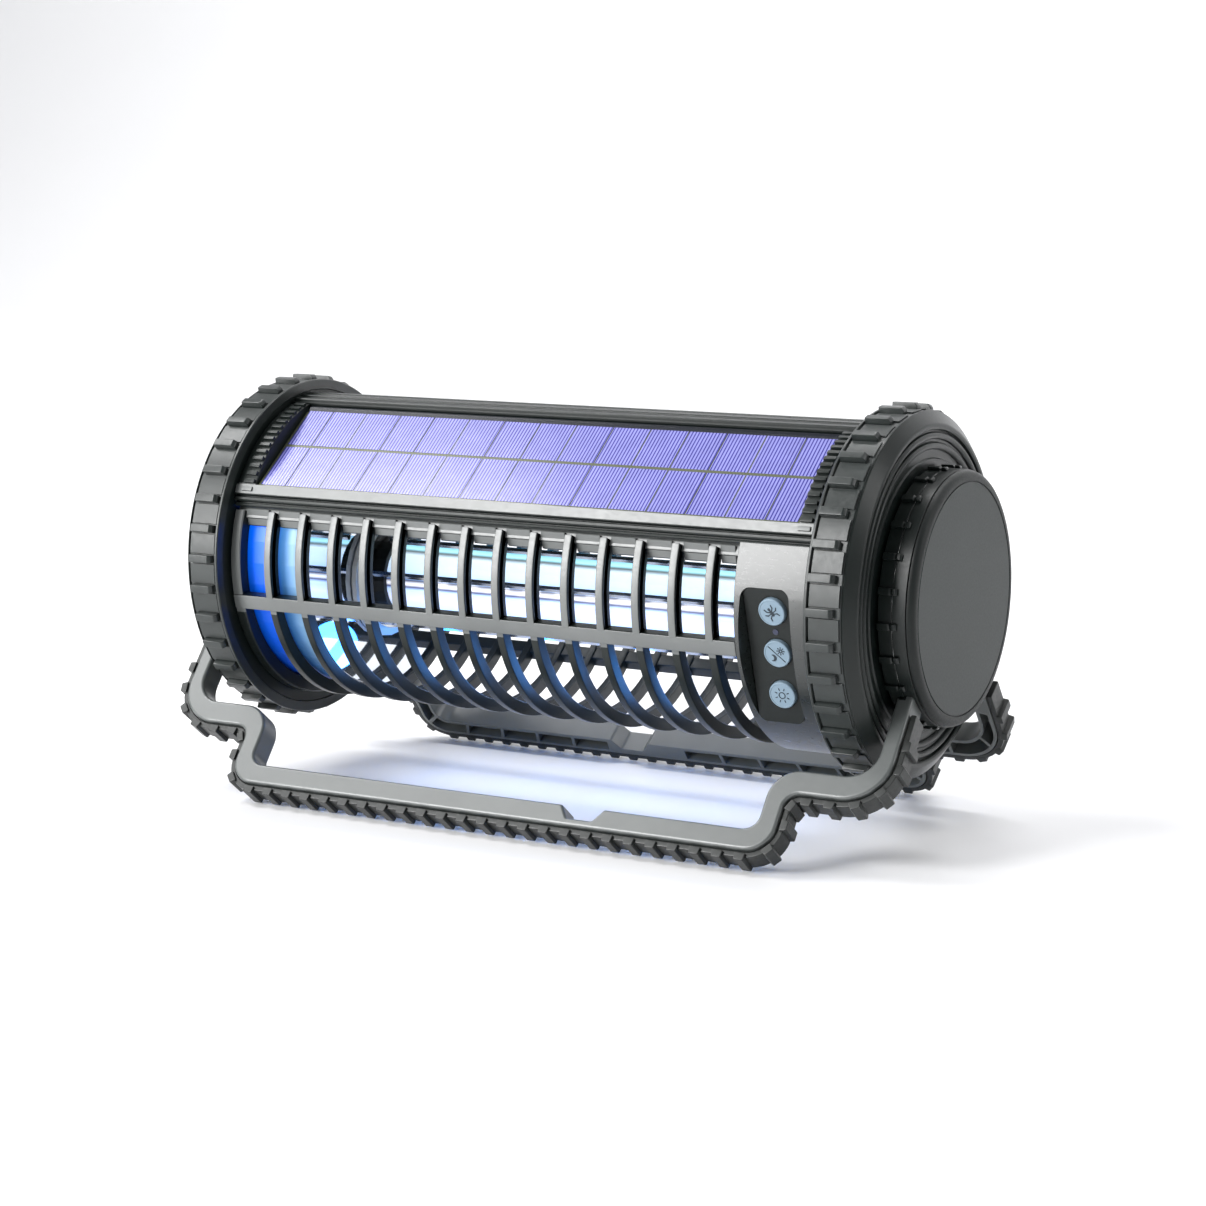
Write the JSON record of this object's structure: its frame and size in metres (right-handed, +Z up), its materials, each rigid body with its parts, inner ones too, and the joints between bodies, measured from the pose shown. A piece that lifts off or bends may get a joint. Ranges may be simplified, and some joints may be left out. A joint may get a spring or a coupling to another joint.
{
  "type": "electric bug zapper",
  "caption": "Portable caged electric bug zapper: a lit lamp and wire grid in a horizontal drum with rubber end rings, a solar panel on top and two folding U-shaped legs.",
  "frame": {"origin": "on the floor under the middle of the object, both legs open as in the picture", "axes": "+X along the lamp towards the end with the buttons, -Y towards the side with the buttons and solar panel, +Z up"},
  "size_m": [0.2812, 0.1384, 0.1433],
  "materials": {
    "bumper_rubber": "satin black rubber",
    "housing_abs": "smooth dark grey-green plastic with a soft sheen",
    "hub_abs": "matt black plastic",
    "spring_steel": "plain steel",
    "leg_abs": "grey satin plastic",
    "tread_rubber": "ribbed black rubber",
    "solar_cells": "clear sheet over violet-blue cells",
    "button_plastic": null,
    "clear_lens": "clear plastic lens",
    "circuit_board": "green circuit board",
    "battery_cell": "wrapped cell",
    "insulator": "off-white insulating plastic",
    "lamp_diffuser": "milky tube, lit blue-white",
    "grid_wire": "bare steel rods"
  },
  "bodies": {
    "body": {"left_bumper_ring": "bumper_rubber", "right_bumper_ring": "bumper_rubber", "left_end_housing": "housing_abs", "right_end_housing": "housing_abs", "left_hub_axle": "hub_abs", "right_hub_axle": "hub_abs", "left_friction_washer": "spring_steel", "right_friction_washer": "spring_steel", "left_axle_screw": "spring_steel", "right_axle_screw": "spring_steel", "left_hub_cap": "housing_abs", "right_hub_cap": "housing_abs", "solar_frame": "housing_abs", "solar_panel": "solar_cells", "solar_back_tray": "hub_abs", "guard_cage": "housing_abs", "control_housing": "housing_abs", "control_panel": "hub_abs", "zap_switch": "hub_abs", "auto_switch": "hub_abs", "light_switch": "hub_abs", "status_led_lens": "clear_lens", "control_board": "circuit_board", "battery_cell_1": "battery_cell", "battery_cell_2": "battery_cell", "battery_holder": "hub_abs", "lamp_base_drum": "hub_abs", "high_voltage_module": "insulator", "lamp_tube": "lamp_diffuser", "lamp_led_board": "circuit_board", "left_lamp_socket": "hub_abs", "right_lamp_socket": "hub_abs", "left_grid_insulator": "insulator", "right_grid_insulator": "insulator", "live_grid": "grid_wire", "return_grid": "grid_wire"},
    "front_leg": {"front_leg": "leg_abs", "front_leg_tread": "tread_rubber"},
    "rear_leg": {"rear_leg": "leg_abs", "rear_leg_tread": "tread_rubber"},
    "zap_button": {"zap_button": "button_plastic"},
    "auto_button": {"auto_button": "button_plastic"},
    "light_button": {"light_button": "button_plastic"}
  },
  "joints": [
    {"name": "front_leg_fold", "type": "hinge", "parent": "body", "child": "front_leg", "pos_m": [0, 0, 0.08134], "axis": [1, 0, 0], "range_deg": [-129, 35]},
    {"name": "rear_leg_fold", "type": "hinge", "parent": "body", "child": "rear_leg", "pos_m": [0, 0, 0.08134], "axis": [1, 0, 0], "range_deg": [-35, 129]},
    {"name": "zap_button_press", "type": "slide", "parent": "body", "child": "zap_button", "axis": [0, 0.9588, 0.284], "range_m": [0, 0.0008], "stiffness_N_per_m": 2500},
    {"name": "auto_button_press", "type": "slide", "parent": "body", "child": "auto_button", "axis": [0, 0.9588, 0.284], "range_m": [0, 0.0008], "stiffness_N_per_m": 2500},
    {"name": "light_button_press", "type": "slide", "parent": "body", "child": "light_button", "axis": [0, 0.9588, 0.284], "range_m": [0, 0.0008], "stiffness_N_per_m": 2500}
  ]
}
